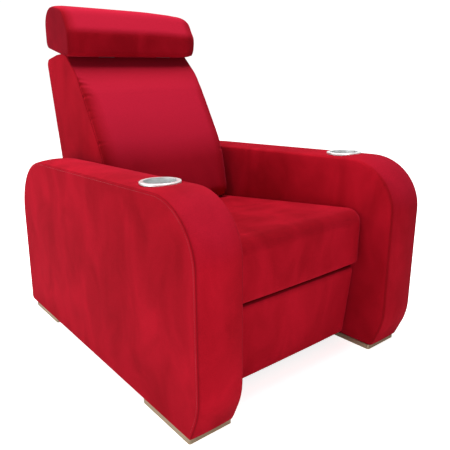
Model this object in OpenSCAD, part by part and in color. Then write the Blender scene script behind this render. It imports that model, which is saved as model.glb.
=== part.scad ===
// Cinema recliner seat with a power footrest, a power backrest and a tilting headrest.
// Millimetres. +Z is up, the sitter faces -Y and sits with the right arm at -X.
// The origin is on the floor under the middle of the seat.
// Side outlines are drawn as [y, z] with y measured back from the front seam of the arms.

/* [Arms] */
// Width of each arm
arm_w = 133; // [120:1:150]
// Depth of the arms from the front seam to the rear
arm_depth = 1088; // [1060:1:1120]
// Height of the arms at their side seams
arm_h = 584; // [570:1:620]
// Rise of the arm padding between its seams
arm_crown = 7; // [5:1:9]
// Radius of the arm at the front top
front_top_r = 150; // [120:5:160]
// Radius of the arm at the rear top
rear_top_r = 225; // [180:5:240]

/* [Feet] */
// Height of the metal feet
foot_h = 15; // [12:1:20]
// Length of each foot from front to back
foot_l = 204; // [180:1:220]

/* [Cup holders] */
// Outer diameter of the cup holder rim
cup_rim_d = 102; // [98:1:104]
// Inner diameter of the cup holder
cup_d = 82; // [78:1:83]
// Depth of the cup holder from its rim
cup_deep = 80; // [60:1:90]
// Distance of the cup holder from the front seam
cup_y = 217; // [190:1:300]

/* [Seat] */
// Free width between the arms
seat_w = 562; // [540:1:600]
// Height of the front edge of the seat cushion
seat_front_h = 444; // [440:1:450]
// Height of the rear edge of the seat cushion
seat_rear_h = 392; // [385:1:394]
// Rise of the seat cushion between the arms
seat_crown = 10; // [6:1:11]

/* [Back] */
// Free gap between the backrest and each arm
back_gap = 23; // [18:1:26]
// Rise of the backrest cushion between its side seams
back_crown = 22; // [12:1:24]
// Width of the headrest
head_w = 540; // [500:1:550]
// Rise of the headrest front between its side seams
head_crown = 11; // [6:1:14]

/* [Footrest] */
// Thickness of the footrest pad
pad_t = 38; // [30:1:39]
// Length of the footrest panel from its top to its bottom edge
panel_l = 240; // [220:1:242]

/* [Hidden] */
$fn = 48;
// Gap between pieces that seat on each other
seat_gap = 0.3;
// Radial running clearance of a pin in its bore
pin_play = 0.05;
// Overrun of a cut past the face that it opens
over = 5;
// Excess of an arc over its straight neighbours, so that they cross
arc_lift = 0.02;
y_mid = (arm_depth - arm_crown) / 2;
arm_in = seat_w / 2;
arm_out = arm_in + arm_w;
arm_x = arm_in + arm_w / 2;

// Arm box
toe_back = 36;
toe_rise = 105;
rear_lean = 42;
toe_r = 6;
heel_r = 12;
toe_rise_r = 200;
arm_pad_t = 10;
arm_board_t = 12;
arm_side = [
    [toe_back, foot_h], [arm_depth, foot_h], [arm_depth - rear_lean, arm_h], [0, arm_h], [0, toe_rise]
];
arm_radii = [toe_r, heel_r, rear_top_r, front_top_r, toe_rise_r];
crown_r = ((arm_w / 2) ^ 2 + arm_crown ^ 2) / (2 * arm_crown);
post_y = 560;

// Feet
foot_inset = 1;
foot_front_y = 41;
foot_rear_gap = 45;
foot_rear_y = arm_depth - foot_rear_gap - foot_l;
foot_r = 5;
screw_r = 3;
screw_head_r = 6;
screw_head_t = 3.5;
screw_sink = 0.5;
screw_shares = [0.2, 0.8];

// Cup holder
cup_wall = 1.2;
rim_t = 5.5;
rim_seat = 3;
rim_edge_r = 1.5;
rim_z = arm_h + arm_crown - rim_seat;

// Steel side plate of the mechanism
plate_t = 3;
link_t = 4;
plate_in = arm_in - seat_gap - plate_t;
plane_1 = plate_in - seat_gap - link_t;
plane_2 = plane_1 - seat_gap - link_t;
plane_3 = plane_2 - seat_gap - link_t;
plate_low_z = 45;
plate_top_z = 262;
plate_front = 205;
plate_rear = 905;
plate_nose_z = 180;
plate_heel_z = 190;
plate_cut_l = 95;
plate_r = 12;
window_y_shares = [0.17, 0.34, 0.81];
window_z_shares = [0.36, 0.30, 0.72];
window_w = 90;
window_h = 60;
window_r = 14;
bolt_r = 4;
bolt_head_r = 7;
bolt_head_t = 3.2;
bolt_shares = [[0.05, 0.88], [0.72, 0.88], [0.72, 0.12], [0.94, 0.12]];

// Pivots of the footrest linkage
pivot_a = [429, 250];
pivot_b = [524, 210];
pivot_d = [618, 63];
pivot_e = [550, 66];
pivot_f = [195, 250];
pivot_g = [218, 207];
stud_r = 4;
// Extra radius of the holes at the two opened pivots
open_d_play = 1.2;
open_g_play = 2.1;
wide_link = 24;
slim_link = 22;
drive_r = 11;
tube_wall = 2;
crank_l = 60;
crank_angle = -40.5;
crank_t = 6;
actuator_x = 60;

// Backrest pivot, recline crank and headrest pivot
back_pivot = [800, 325];
back_pin_r = 6;
back_boss_r = 12;
hinge_arm_t = 4;
hinge_arm_w = 24;
back_crank_l = 70;
back_angle = -70;
head_pivot = [872, 925];
barrel_r = 5;
barrel_pin_r = 2.5;
hinge_x = 120;
hinge_w = 60;
leaf_t = 3;
// Place where the lower hinge leaf bends over the front of the backrest top
leaf_knee = [902, 939.4];

// Cross tubes
tube_r = 12.5;
tube_z = 137;
front_tube_y = 640;
rear_tube_y = 900;

// Seat frame and cushion
bar_w = 25;
bar_t = 3;
bar_ys = [300, 640];
rail_inset = 56;
rail_in = arm_in - rail_inset;
rail_t = 22;
rail_top = 313;
rail_front = 113.5;
rail_rear = 712;
cross_t = 22;
seat_front_y = 91;
seat_rear_y = 735;
seat_low_z = 270;
seat_lip_w = 22;
seat_nose_w = 3;
spring_wire = 3.7;
spring_w = 66;
spring_pitch = 46;
seat_spring_shares = [-0.8, -0.4, 0, 0.4, 0.8];
seat_bed = rail_top + spring_wire + seat_gap;
seat_side = [
    [seat_front_y, seat_low_z], [seat_front_y + seat_lip_w, seat_low_z],
    [seat_front_y + seat_lip_w, seat_bed],
    [seat_rear_y, seat_bed], [seat_rear_y, seat_rear_h], [seat_front_y - seat_nose_w, seat_front_h]
];
seat_radii = [10, 4, 4, 8, 20, 42];

// Backrest body
back_start = [652, 334];
back_size = [432, 604];
back_side_shares = [
    [0, 0.124], [0.215, 0.124], [0.528, 0.055], [0.771, 0.992], [0.609, 1], [0.424, 0.871], [0.088, 0.44]
];
back_radii = [30, 20, 4, 4, 24, 150, 300];
back_rear_shares = [[0.528, 0.055], [0.771, 0], [1, 0.98], [0.771, 0.992]];
shell_radii = [2, 14, 24, 2];
shell_wall = 9;
back_half = arm_in - back_gap;
back_arm_in = back_half - shell_wall - hinge_arm_t - 2 * seat_gap;
board_w = 18;
rail_depth = 22;
back_rail_h = 60;
back_spring_shares = [-0.58, -0.19, 0.19, 0.58];

// Headrest body
head_start = [857, 912];
head_size = [184, 192];
head_side_shares = [[0, 0], [0.234, 0.175], [1, 0.268], [0.962, 1], [0, 0.732]];
head_radii = [10, 30, 26, 60, 70];
head_board_t = 12;
head_board_y = 907;
head_board_z = 956;
head_board_h = 84;
head_board_inset = 55;
head_board_half = head_w / 2 - head_board_inset;

// Footrest panel
panel_top = [104, 266];
panel_lean = 6.2;
panel_gap = 5;
panel_drop = 9;
panel_board_t = 15;
pad_crown = 4;
flange_w = 26;
flange_t = 3;

// Actuators
rail_w = 34;
rail_h = 24;
rail_wall = 2;
rail_z = tube_z + tube_r + seat_gap;
screw_rod_r = 4;
carriage_l = 50;
carriage_play = 0.4;
gear_l = 60;
gear_w = 56;
gear_h = 58;
motor_r = 19;
slot_plate_t = 4;
slot_plate_w = 32;
slot_rim = 11;
ottoman_slot_play = 2.6;
back_slot_play = 0.4;
ottoman_rail_front = 340;
ottoman_rail_l = 400;
back_rail_front = 662;
back_rail_l = 252;
motor_l = 85;

// Switch on the inner face of the right arm
switch_y = 330;
switch_z = 508;
switch_l = 52;
switch_h = 66;
bezel_t = 2.2;
bezel_rim = 5;
bezel_r = 4;
switch_deep = 17;
rocker_l = 36;
rocker_h = 22;
rocker_t = 9;
rocker_ridge = 1.2;
rocker_gap = 1;
rocker_pitch = 29;
rocker_pin_r = 1.5;

// Control box and power inlet
box_y = 722;
box_z = 92;
box_l = 108;
box_h = 60;
box_t = 38;
box_r = 5;
inlet_x = 150;
inlet_w = 34;
inlet_h = 26;
inlet_l = 24;
inlet_hole_r = 8;
inlet_deep = 14;
inlet_pin_r = 1;

function unit(v) = v / norm(v);
// Normal to the left of the way from p to q
function left_normal(p, q) = let (d = unit(q - p)) [-d[1], d[0]];
function within(share, start, size) = [start[0] + share[0] * size[0], start[1] + share[1] * size[1]];
function spread(shares, start, size) = [for (s = shares) within(s, start, size)];
// Outline with each edge moved inward by its own distance
function shifted(p, d) = let (n = len(p)) [
    for (i = [0 : n - 1])
        let (
            a = left_normal(p[(i + n - 1) % n], p[i]),
            b = left_normal(p[i], p[(i + 1) % n]),
            da = d[(i + n - 1) % n],
            db = d[i],
            k = a * b
        )
        p[i] + (a * (da - db * k) + b * (db - da * k)) / (1 - k * k)
];
function inset(p, d) = shifted(p, [for (q = p) d]);
function smaller(radii, d) = [for (r = radii) max(r - d, 0)];
// Two tangent points and the centre of a round corner
function corner(p, r, i) = let (
    n = len(p),
    u = unit(p[(i + n - 1) % n] - p[i]),
    v = unit(p[(i + 1) % n] - p[i]),
    half = acos(u * v) / 2
) [p[i] + u * r[i] / tan(half), p[i] + v * r[i] / tan(half), p[i] + unit(u + v) * r[i] / sin(half)];
function arc_points(c, r, steps) = let (
    s = c[0] - c[2],
    e = c[1] - c[2],
    from = atan2(s[1], s[0]),
    turn = (atan2(e[1], e[0]) - from + 540) % 360 - 180
) [for (k = [0 : steps]) c[2] + r * [cos(from + turn * k / steps), sin(from + turn * k / steps)]];
// Rounded outline as points, with each edge bulged outward by its own height
function ring(p, radii, bulges, arc_steps, edge_steps) = let (
    n = len(p),
    arcs = [for (i = [0 : n - 1]) arc_points(corner(p, radii, i), radii[i], arc_steps)]
) [
    for (i = [0 : n - 1])
        each concat(arcs[i], [
            for (j = [1 : edge_steps])
                let (t = j / (edge_steps + 1), s = arcs[i][arc_steps], e = arcs[(i + 1) % n][0])
                s + (e - s) * t - left_normal(p[i], p[(i + 1) % n]) * bulges[i] * 4 * t * (1 - t)
        ])
];
function crossing(a, b, c, d) = let (
    r = b - a,
    s = d - c,
    t = ((c - a)[0] * s[1] - (c - a)[1] * s[0]) / (r[0] * s[1] - r[1] * s[0])
) a + t * r;
function polar(r, angle) = r * [cos(angle), sin(angle)];
// Place on the footrest panel, back from its front face and down from its top edge
function panel(back, down) =
    panel_top + back * [cos(panel_lean), sin(panel_lean)] + down * [sin(panel_lean), -cos(panel_lean)];
pivot_c = crossing(pivot_a, pivot_e, pivot_f, pivot_d);
crank_pin = pivot_a + polar(crank_l, crank_angle);
back_pin = back_pivot + polar(back_crank_l, back_angle);
back_side = spread(back_side_shares, back_start, back_size);
back_rear = spread(back_rear_shares, back_start, back_size);
head_side = spread(head_side_shares, head_start, head_size);

// Extrudes a side outline from x0 to x1
module slab(x0, x1) {
    translate([x0, -y_mid, 0]) rotate([90, 0, 90]) linear_extrude(x1 - x0) children();
}
module at(place) {
    translate([0, place[0] - y_mid, place[1]]) children();
}
module sided(side) {
    if (side < 0) mirror([1, 0, 0]) children();
    else children();
}
module both() {
    children();
    mirror([1, 0, 0]) children();
}
module outline(points, radii) {
    n = len(points);
    polygon([
        for (i = [0 : n - 1])
            let (c = corner(points, radii, i))
            each (radii[i] > 0 ? [c[0], c[1]] : [points[i]])
    ]);
    for (i = [0 : n - 1])
        if (radii[i] > 0)
            let (c = corner(points, radii, i)) intersection() {
                translate(c[2]) circle(radii[i] + arc_lift);
                polygon([c[0], points[i], c[1]]);
            }
}
module block(start, size, r) {
    corners = [start, start + [size[0], 0], start + size, start + [0, size[1]]];
    outline(corners, [r, r, r, r]);
}
// Flat bar with round ends
module bar(a, b, w) {
    d = b - a;
    translate(a) rotate(atan2(d[1], d[0])) translate([0, arc_lift - w / 2])
        square([norm(d), w - 2 * arc_lift]);
    translate(a) circle(w / 2);
    translate(b) circle(w / 2);
}
module hole(place, r) {
    translate(place) circle(r);
}
// Round rod across the seat
module rod(place, x0, x1, r) {
    slab(x0, x1) hole(place, r);
}
// Sewn cushion: the side outline is its side seam, and each edge swells by its own height between the seams
module pillow(half_w, points, radii, swells, bulges, arc_steps, edge_steps) {
    places = [-1, -0.975, -0.92, -0.82, -0.66, -0.45, -0.22, 0, 0.22, 0.45, 0.66, 0.82, 0.92, 0.975, 1];
    rings = [
        for (s = places)
            let (f = sqrt(1 - pow(abs(s), 3)))
            ring(shifted(points, -swells * f), radii, bulges * f, arc_steps, edge_steps)
    ];
    n = len(rings[0]);
    m = len(places);
    skin = [for (k = [0 : m - 1]) each [for (q = rings[k]) [places[k] * half_w, q[0] - y_mid, q[1]]]];
    middle = [for (a = [0, 1]) let (r = rings[a * (m - 1)]) ([for (q = r) 1] * r) / n];
    ends = [for (a = [0, 1]) [(2 * a - 1) * half_w, middle[a][0] - y_mid, middle[a][1]]];
    faces = concat(
        [for (k = [0 : m - 2], i = [0 : n - 1]) [k * n + i, (k + 1) * n + i, (k + 1) * n + (i + 1) % n]],
        [for (k = [0 : m - 2], i = [0 : n - 1]) [k * n + i, (k + 1) * n + (i + 1) % n, k * n + (i + 1) % n]],
        [for (i = [0 : n - 1]) [m * n, i, (i + 1) % n]],
        [for (i = [0 : n - 1]) [m * n + 1, (m - 1) * n + (i + 1) % n, (m - 1) * n + i]]
    );
    polyhedron(concat(skin, ends), faces);
}
// Zigzag spring of flat wire, laid along +Y
module sinuous(length, width, pitch, wire) {
    turns = floor(length / pitch);
    reach = (width - pitch) / 2;
    for (k = [0 : turns])
        translate([-reach, k * pitch - wire / 2]) square([2 * reach, wire]);
    for (k = [0 : turns - 1])
        translate([(k % 2 == 0 ? 1 : -1) * reach, (k + 1 / 2) * pitch]) intersection() {
            difference() {
                circle((pitch + wire) / 2);
                circle((pitch - wire) / 2);
            }
            translate([k % 2 == 0 ? 0 : -pitch, -pitch]) square([pitch, 2 * pitch]);
        }
}

// Plywood box inside an arm, drawn for the left arm
module arm_frame(side) {
    skin = arm_pad_t + seat_gap;
    core = skin + arm_board_t;
    post_h = arm_h - foot_h - 2 * core;
    color("burlywood") sided(side) difference() {
        union() {
            difference() {
                slab(arm_in + skin, arm_out - skin)
                    outline(inset(arm_side, skin), smaller(arm_radii, skin));
                slab(arm_in + core, arm_out - core)
                    outline(inset(arm_side, core), smaller(arm_radii, core));
            }
            slab(arm_in + core, arm_out - core)
                translate([post_y, foot_h + core]) square([arm_board_t, post_h]);
        }
        translate([arm_x, cup_y - y_mid, rim_z - cup_deep - over])
            cylinder(h = cup_deep + 2 * over, r = cup_d / 2 + 2 * cup_wall);
        slab(arm_in, arm_in + core + over) for (s = bolt_shares) hole(plate_place(s), bolt_r + pin_play);
        foot_holes(screw_r + pin_play);
        if (side < 0) slab(arm_in - over, arm_in + core + over) switch_hole(seat_gap);
    }
}
plate_start = [plate_front, plate_low_z];
plate_size = [plate_rear - plate_front, plate_top_z - plate_low_z];
function plate_place(s) = within(s, plate_start, plate_size);
module foot_holes(r) {
    deep = foot_h + arm_pad_t + arm_board_t + 2 * over;
    for (y = [foot_front_y, foot_rear_y], s = screw_shares)
        translate([arm_x, y + s * foot_l - y_mid, -over]) cylinder(h = deep, r = r);
}
module switch_hole(play) {
    half = [switch_l / 2 + play, switch_h / 2 + play];
    block([switch_y, switch_z] - half, 2 * half, bezel_r / 2);
}

// Padded velvet cover of an arm, sewn from two side panels and one long band
module arm_cover(side) {
    far = arm_depth + arm_h;
    wide = arm_w + 2 * over;
    dome = crown_r - arm_crown;
    outer = shifted(arm_side, [0, 0, -arm_crown, -arm_crown, -arm_crown]);
    color("firebrick") sided(side) difference() {
        intersection() {
            slab(arm_in, arm_out) outline(outer, arm_radii + [0, 0, 1, 1, 0] * arm_crown);
            translate([arm_x, -far, arm_h - dome]) rotate([-90, 0, 0])
                cylinder(h = 2 * far, r = crown_r + arc_lift);
            union() {
                translate([arm_x, dome - y_mid, -over]) cylinder(h = far, r = crown_r + arc_lift);
                translate([arm_in - over, dome - y_mid, -over]) cube([wide, far, far]);
            }
        }
        slab(arm_in + arm_pad_t, arm_out - arm_pad_t)
            outline(inset(arm_side, arm_pad_t), smaller(arm_radii, arm_pad_t));
        translate([arm_x, cup_y - y_mid, rim_z - 2 * arm_pad_t - arm_crown])
            cylinder(h = 3 * arm_pad_t + arm_crown, r = cup_d / 2 + 2 * cup_wall);
        translate([arm_x, cup_y - y_mid, rim_z])
            cylinder(h = rim_seat + over, r = cup_rim_d / 2 + seat_gap);
        slab(arm_in - over, arm_in + arm_pad_t + over)
            for (s = bolt_shares) hole(plate_place(s), bolt_r + seat_gap);
        foot_holes(screw_r + seat_gap);
        if (side < 0) slab(arm_in - over, arm_in + arm_pad_t + over) switch_hole(seat_gap);
    }
}

// Pressed steel cup with a rolled rim
module cup_holder(side) {
    color("silver") sided(side) translate([arm_x, cup_y - y_mid, rim_z + seat_gap]) rotate_extrude() {
        translate([cup_d / 2, rim_t - cup_deep]) square([cup_wall, cup_deep]);
        translate([0, rim_t - cup_deep]) square([cup_d / 2, cup_wall]);
        translate([cup_d / 2, 0]) square([(cup_rim_d - cup_d) / 2 - rim_edge_r, rim_t]);
        translate([cup_rim_d / 2 - rim_edge_r, rim_t - rim_edge_r]) circle(rim_edge_r);
        translate([cup_rim_d / 2 - rim_edge_r, 0]) square([rim_edge_r, rim_t - rim_edge_r]);
    }
}

// Flat metal foot under one end of an arm
module foot(side, y) {
    color("tan") sided(side) difference() {
        translate([0, -y_mid, 0]) linear_extrude(foot_h)
            block([arm_in + foot_inset, y], [arm_w - 2 * foot_inset, foot_l], foot_r);
        for (s = screw_shares)
            translate([arm_x, y + s * foot_l - y_mid, -over]) {
                cylinder(h = foot_h + 2 * over, r = screw_r + seat_gap);
                cylinder(h = over + screw_head_t + 2 * screw_sink, r = screw_head_r + seat_gap);
            }
    }
}
module foot_screws() {
    color("dimgray") both() for (y = [foot_front_y, foot_rear_y], s = screw_shares)
        translate([arm_x, y + s * foot_l - y_mid, 0]) {
            translate([0, 0, screw_sink]) cylinder(h = screw_head_t, r = screw_head_r);
            translate([0, 0, screw_sink]) cylinder(h = foot_h + arm_pad_t + arm_board_t, r = screw_r);
        }
}

// Steel side plate bolted to the inner face of an arm, with the two fixed studs of the footrest links
module mechanism_plate(side) {
    color("dimgray") sided(side) {
        slab(plate_in, plate_in + plate_t) difference() {
            union() {
                outline([
                    [plate_front, plate_nose_z], [plate_front + plate_cut_l, plate_low_z],
                    [plate_rear, plate_low_z], [plate_rear, plate_heel_z],
                    [back_pivot[0] + 3 * back_boss_r, plate_top_z], [plate_front, plate_top_z]
                ], [for (k = [0 : 5]) plate_r]);
                bar(back_pivot, [back_pivot[0], plate_top_z - plate_r], 2 * back_boss_r);
            }
            for (k = [0 : len(window_y_shares) - 1])
                translate(plate_place([window_y_shares[k], window_z_shares[k]]))
                    block([-window_w / 2, -window_h / 2], [window_w, window_h], window_r);
            for (s = bolt_shares) hole(plate_place(s), bolt_r + pin_play);
        }
        rod(pivot_a, plane_1, plate_in, stud_r);
        rod(pivot_b, plane_1, plate_in, stud_r);
    }
}
module plate_bolts() {
    color("silver") both() for (s = bolt_shares) {
        rod(plate_place(s), plate_in - bolt_head_t, plate_in, bolt_head_r);
        rod(plate_place(s), plate_in, arm_in + arm_pad_t + arm_board_t, bolt_r);
    }
}
module seat_support_bars() {
    bar_l = arm_in - seat_gap - rail_in;
    color("dimgray") both() for (y = bar_ys)
        translate([rail_in, y - bar_w / 2 - y_mid, plate_top_z]) cube([bar_l, bar_w, bar_t]);
}
module cross_tube(y) {
    color("dimgray") slab(-plate_in, plate_in) difference() {
        hole([y, tube_z], tube_r);
        hole([y, tube_z], tube_r - tube_wall);
    }
}
// Bosses and pins that carry the backrest
module back_pivot_pins() {
    color("gray") both() {
        rod(back_pivot, back_arm_in + hinge_arm_t + seat_gap, plate_in, back_boss_r);
        rod(back_pivot, back_arm_in - 2 * seat_gap, back_arm_in + hinge_arm_t + seat_gap, back_pin_r);
    }
}

// Seat frame
rail_low = plate_top_z + bar_t;
seat_rail_h = rail_top - rail_low;
module seat_side_rails() {
    color("burlywood") both() slab(rail_in, rail_in + rail_t)
        translate([rail_front, rail_low]) square([rail_rear - rail_front, seat_rail_h]);
}
module seat_cross_rails() {
    color("burlywood") slab(-rail_in, rail_in) for (y = [rail_front, rail_rear - cross_t])
        translate([y, rail_low]) square([cross_t, seat_rail_h]);
}
module seat_springs() {
    color("gray") translate([0, rail_front + cross_t / 2 - y_mid, rail_top]) linear_extrude(spring_wire)
        for (s = seat_spring_shares) translate([s * rail_in, 0])
            sinuous(rail_rear - rail_front - cross_t, spring_w, spring_pitch, spring_wire);
}
module seat_cushion() {
    color("crimson") pillow(
        arm_in - 2 * seat_gap, seat_side, seat_radii,
        [0, 0, 0, 0, 0.4, 0.1] * seat_crown, [0, 0, 0, 0, 0.6, 0.3] * seat_crown, 4, 4
    );
}

// Switch with two rockers
module rocker_window(z, play) {
    half = [rocker_l / 2 + play, rocker_h / 2 + play];
    block([switch_y, z] - half, 2 * half, play);
}
module switch_plate() {
    half = [switch_l / 2 + bezel_rim, switch_h / 2 + bezel_rim];
    color("#202020") sided(-1) {
        difference() {
            union() {
                slab(arm_in - bezel_t, arm_in) block([switch_y, switch_z] - half, 2 * half, bezel_r);
                slab(arm_in, arm_in + switch_deep) switch_hole(0);
            }
            for (k = [-1, 1])
                slab(arm_in - bezel_t - over, arm_in + switch_deep - bezel_t)
                    rocker_window(switch_z + k * rocker_pitch / 2, rocker_gap);
        }
        for (k = [-1, 1])
            at([switch_y, switch_z + k * rocker_pitch / 2 - rocker_h / 2 - rocker_gap])
                translate([arm_in + rocker_t / 2, 0, 0])
                    cylinder(h = rocker_h + 2 * rocker_gap, r = rocker_pin_r);
    }
}
// Rocker with a shallow ridge across its middle, bored for its pin
module rocker(k) {
    color("#303030") sided(-1) difference() {
        at([switch_y, switch_z + k * rocker_pitch / 2 - rocker_h / 2]) translate([arm_in, 0, 0])
            linear_extrude(rocker_h) polygon([
                [-rocker_ridge, -rocker_l / 2], [0, 0], [-rocker_ridge, rocker_l / 2],
                [rocker_t * 2 / 3, rocker_l / 2 - rocker_gap], [rocker_t, rocker_l / 5],
                [rocker_t, -rocker_l / 5], [rocker_t * 2 / 3, rocker_gap - rocker_l / 2]
            ]);
        at([switch_y, switch_z + k * rocker_pitch / 2 - rocker_h]) translate([arm_in + rocker_t / 2, 0, 0])
            cylinder(h = 2 * rocker_h, r = rocker_pin_r + pin_play);
    }
}

// Electrics under the seat
module control_box() {
    color("#252525") slab(plate_in - box_t, plate_in) block([box_y, box_z], [box_l, box_h], box_r);
}
module power_inlet() {
    front = rear_tube_y + tube_r + seat_gap;
    floor_y = front + inlet_l - inlet_deep;
    color("#1a1a1a") difference() {
        translate([inlet_x - inlet_w / 2, front - y_mid, tube_z - inlet_h / 2])
            cube([inlet_w, inlet_l, inlet_h]);
        translate([inlet_x, floor_y - y_mid, tube_z]) rotate([-90, 0, 0])
            cylinder(h = inlet_deep + over, r = inlet_hole_r);
    }
    color("silver") for (k = [-1, 1])
        translate([inlet_x + k * inlet_hole_r / 3, floor_y - y_mid, tube_z]) rotate([-90, 0, 0])
            cylinder(h = inlet_deep * 2 / 3, r = inlet_pin_r);
}
// Gearbox at the end of a rail with its motor behind it; dir is the way that the motor points
module actuator_motor(x, y, dir) {
    color("#2a2a2a") translate([x, y - y_mid, rail_z]) {
        translate([-gear_w / 2, dir > 0 ? 0 : -gear_l, 0]) cube([gear_w, gear_l, gear_h]);
        translate([0, dir * gear_l, gear_h / 2]) rotate([dir * -90, 0, 0]) cylinder(h = motor_l, r = motor_r);
    }
}
// Open channel with its lead screw
module actuator_rail(x, y, l) {
    inner_l = l - 2 * rail_wall;
    color("silver") translate([x, y - y_mid, rail_z]) {
        difference() {
            translate([-rail_w / 2, 0, 0]) cube([rail_w, l, rail_h]);
            translate([rail_wall - rail_w / 2, rail_wall, rail_wall])
                cube([rail_w - 2 * rail_wall, inner_l, rail_h]);
        }
        translate([0, rail_wall, rail_h / 2]) rotate([-90, 0, 0]) cylinder(h = inner_l, r = screw_rod_r);
    }
}
// Nut carriage with an upright slotted plate that holds the crank pin
module carriage(x, pin, low, play, side) {
    inner = rail_w / 2 - rail_wall - carriage_play;
    color("#e8e4da") difference() {
        translate([x - inner, pin[0] - carriage_l / 2 - y_mid, rail_z + rail_wall + carriage_play])
            cube([2 * inner, carriage_l, rail_h - rail_wall - 2 * carriage_play]);
        translate([x, pin[0] - carriage_l - y_mid, rail_z + rail_h / 2]) rotate([-90, 0, 0])
            cylinder(h = 2 * carriage_l, r = screw_rod_r + carriage_play);
    }
    color("dimgray") translate([x, 0, 0]) sided(side) slab(seat_gap, seat_gap + slot_plate_t) difference() {
        translate([pin[0] - slot_plate_w / 2, rail_z + rail_h - carriage_play])
            square([slot_plate_w, pin[1] + slot_rim - rail_z - rail_h]);
        bar([pin[0], low], pin, 2 * (stud_r + play));
    }
}

// Backrest
module back_shell() {
    color("firebrick") difference() {
        slab(-back_half, back_half) outline(shifted(back_rear, [0, 0, 0, seat_gap]), shell_radii);
        slab(shell_wall - back_half, back_half - shell_wall)
            polygon(shifted(back_rear, [-6 * shell_wall, shell_wall, shell_wall, -6 * shell_wall]));
    }
}
function back_inner(front, rear) = shifted(back_rear, [shell_wall, rear, shell_wall + seat_gap, front]);
spring_depth = spring_wire + 2 * seat_gap;
module back_side_boards() {
    color("burlywood") both() slab(back_arm_in - board_w, back_arm_in)
        polygon(back_inner(spring_depth, shell_wall + seat_gap));
}
module back_cross_rails() {
    bottom = back_rear[0][1] + shell_wall;
    top = back_rear[3][1] - shell_wall - seat_gap - back_rail_h;
    depth = back_rear[2][0] - back_rear[3][0] - rail_depth;
    color("burlywood") slab(board_w - back_arm_in, back_arm_in - board_w) intersection() {
        polygon(back_inner(spring_depth, depth));
        for (z = [bottom, top]) translate([back_start[0], z]) square([back_size[0], back_rail_h]);
    }
}
module back_springs() {
    low = back_rear[0] + [0, shell_wall];
    rise = back_rear[3] - back_rear[0];
    color("gray") at(back_rear[0]) rotate([atan2(rise[1], rise[0]), 0, 0])
        translate([0, back_rail_h / 2, -spring_wire - seat_gap]) linear_extrude(spring_wire)
            for (s = back_spring_shares) translate([s * back_half, 0])
                sinuous(norm(rise) - back_rail_h - 2 * shell_wall, spring_w, spring_pitch, spring_wire);
}
module back_cushion() {
    color("crimson") pillow(
        back_half, back_side, back_radii,
        [0, 0, 0, 0, 0.4, 0.85, 1] * back_crown, [0, 0, 0, 0, 0, 0, 0.1] * back_crown, 4, 3
    );
}
// Steel arms that carry the backrest boards on the pivot pins
module back_hinge_arms() {
    foot = back_rear[0] + [hinge_arm_w * 1.5, -hinge_arm_w / 12];
    head = foot + [hinge_arm_w * 1.4, back_size[1] / 3];
    color("dimgray") both() slab(back_arm_in, back_arm_in + hinge_arm_t) difference() {
        union() {
            bar(back_pivot, foot, hinge_arm_w);
            bar(foot, head, hinge_arm_w);
        }
        hole(back_pivot, back_pin_r + pin_play);
    }
}
// Torque tube between the hinge arms with the recline crank
module back_crank() {
    color("dimgray") {
        slab(-back_arm_in, back_arm_in) difference() {
            hole(back_pivot, drive_r);
            hole(back_pivot, drive_r - tube_wall);
        }
        slab(-actuator_x - crank_t, -actuator_x) difference() {
            bar(back_pivot, back_pin, slim_link);
            hole(back_pivot, drive_r - tube_wall);
        }
        rod(back_pin, -actuator_x, -actuator_x + crank_t, stud_r);
    }
}

// Headrest and its two friction hinges
module head_hinge_lower() {
    top = back_side[4];
    rise = [0, leaf_t];
    tail = top + 0.7 * (back_rear[2] - top) + [0, 2 * seat_gap];
    color("dimgray") both() for (k = [-1, 1])
        translate([k * (hinge_w - hinge_w / 3) / 2, 0, 0]) {
            slab(hinge_x - hinge_w / 6, hinge_x + hinge_w / 6) difference() {
                union() {
                    hole(head_pivot, barrel_r);
                    polygon([
                        head_pivot + [leaf_t, -leaf_t / 3], leaf_knee, tail, tail + rise,
                        leaf_knee + rise, head_pivot + [0, leaf_t]
                    ]);
                }
                hole(head_pivot, barrel_pin_r + pin_play);
            }
        }
}
module head_hinge_upper() {
    half = hinge_w / 6 - seat_gap;
    knee = [head_board_y - leaf_t - seat_gap, head_board_z];
    color("gray") both() {
        slab(hinge_x - half, hinge_x + half) {
            hole(head_pivot, barrel_r);
            polygon([
                head_pivot + [leaf_t, 0], knee + [leaf_t, 0], knee + [leaf_t, head_board_h / 2],
                knee + [0, head_board_h / 2], knee, head_pivot - [leaf_t / 2, 0]
            ]);
        }
        rod(head_pivot, hinge_x - hinge_w / 2, hinge_x + hinge_w / 2, barrel_pin_r);
    }
}
module head_board() {
    color("burlywood") slab(-head_board_half, head_board_half)
        translate([head_board_y, head_board_z]) square([head_board_t, head_board_h]);
}
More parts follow.
